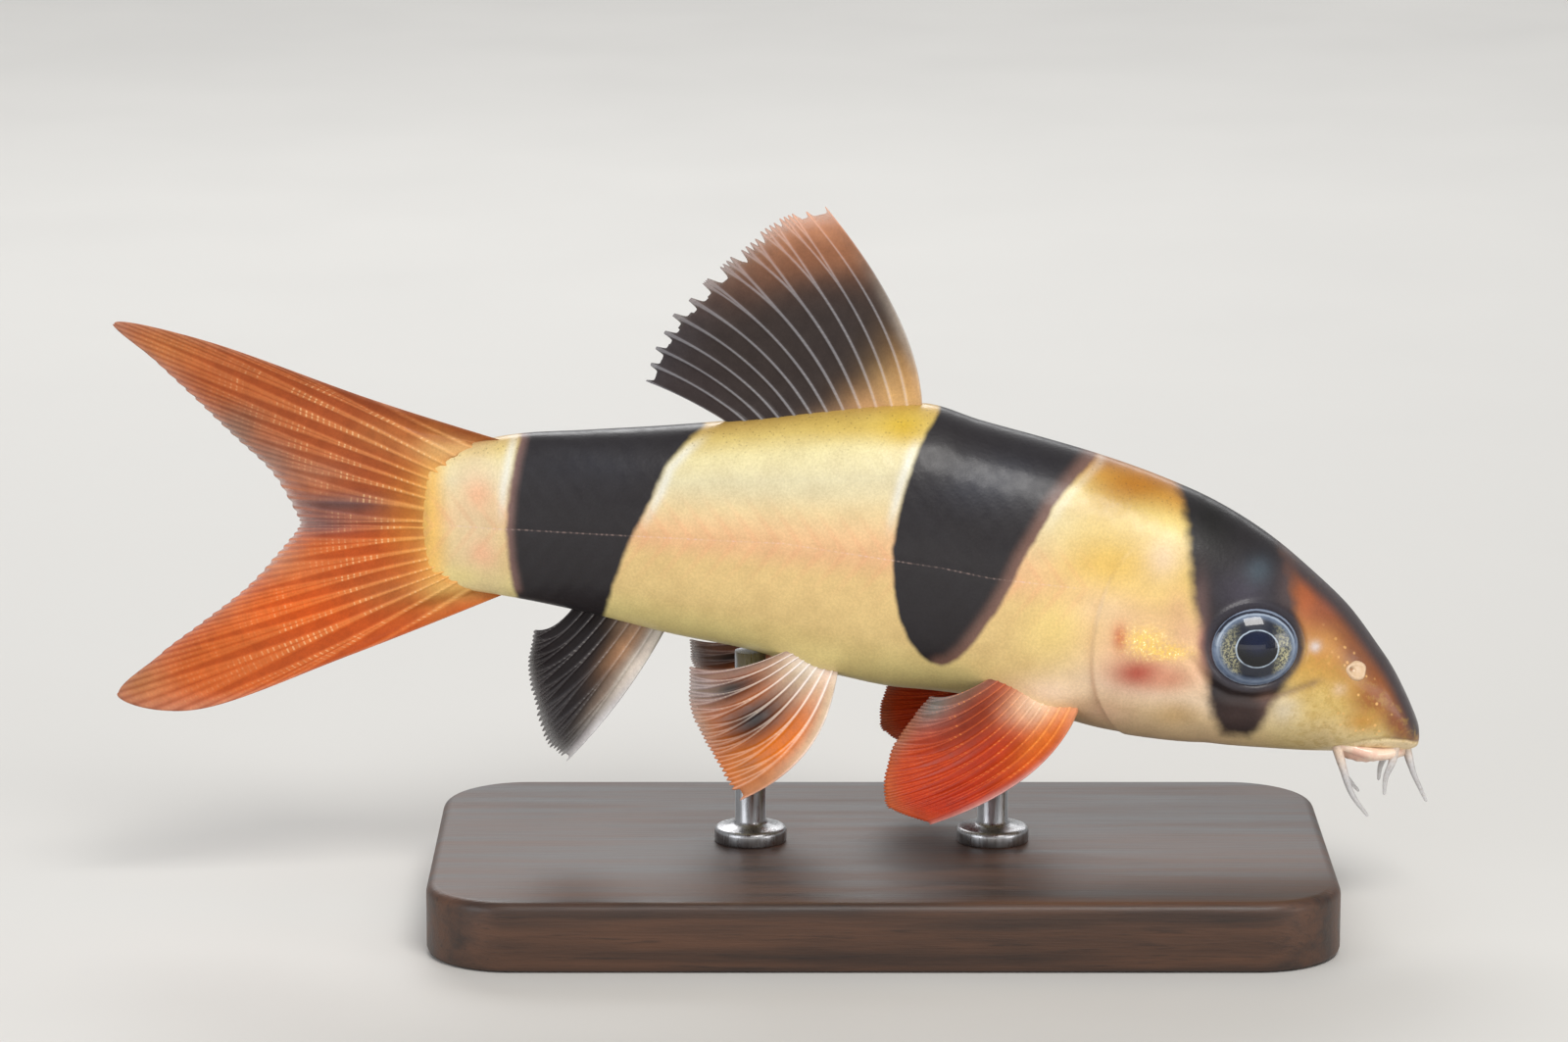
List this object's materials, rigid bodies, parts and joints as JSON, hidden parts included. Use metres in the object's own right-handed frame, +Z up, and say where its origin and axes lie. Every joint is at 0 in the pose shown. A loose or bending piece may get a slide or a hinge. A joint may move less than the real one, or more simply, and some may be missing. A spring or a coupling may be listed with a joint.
{
  "type": "fish model",
  "caption": "Life-size still model of a banded loach with forked tail, spread fins and snout feelers, held on a flat oblong base by slim rods.",
  "frame": {"origin": "centre of the underside of the stand's base", "axes": "+X towards the fish's head, +Z up, the fish's right flank faces -Y"},
  "size_m": [0.076, 0.028, 0.0413],
  "materials": {
    "head": "wet, smooth skin",
    "body": "wet skin with dark bands",
    "eye": "clear gloss",
    "dark_fin": "thin rayed membrane",
    "orange_fin": "thin rayed membrane",
    "pelvic_fin": "thin rayed membrane",
    "feeler": "soft, wet",
    "stand_base": "satin",
    "stand_rod": "satin"
  },
  "bodies": {
    "root": {"head": "head", "torso": "body", "tail": "body", "eye_left": "eye", "eye_right": "eye", "dorsal_fin": "dark_fin", "anal_fin": "dark_fin", "caudal_fin_upper": "orange_fin", "caudal_fin_lower": "orange_fin", "pelvic_fin_left": "pelvic_fin", "pelvic_fin_right": "pelvic_fin", "pectoral_fin_left": "orange_fin", "pectoral_fin_right": "orange_fin", "barbel_rostral_inner_left": "feeler", "barbel_rostral_inner_right": "feeler", "barbel_rostral_outer_left": "feeler", "barbel_rostral_outer_right": "feeler", "barbel_maxillary_left": "feeler", "barbel_maxillary_right": "feeler", "stand_base": "stand_base", "stand_rod_front": "stand_rod", "stand_rod_rear": "stand_rod"}
  },
  "joints": []
}
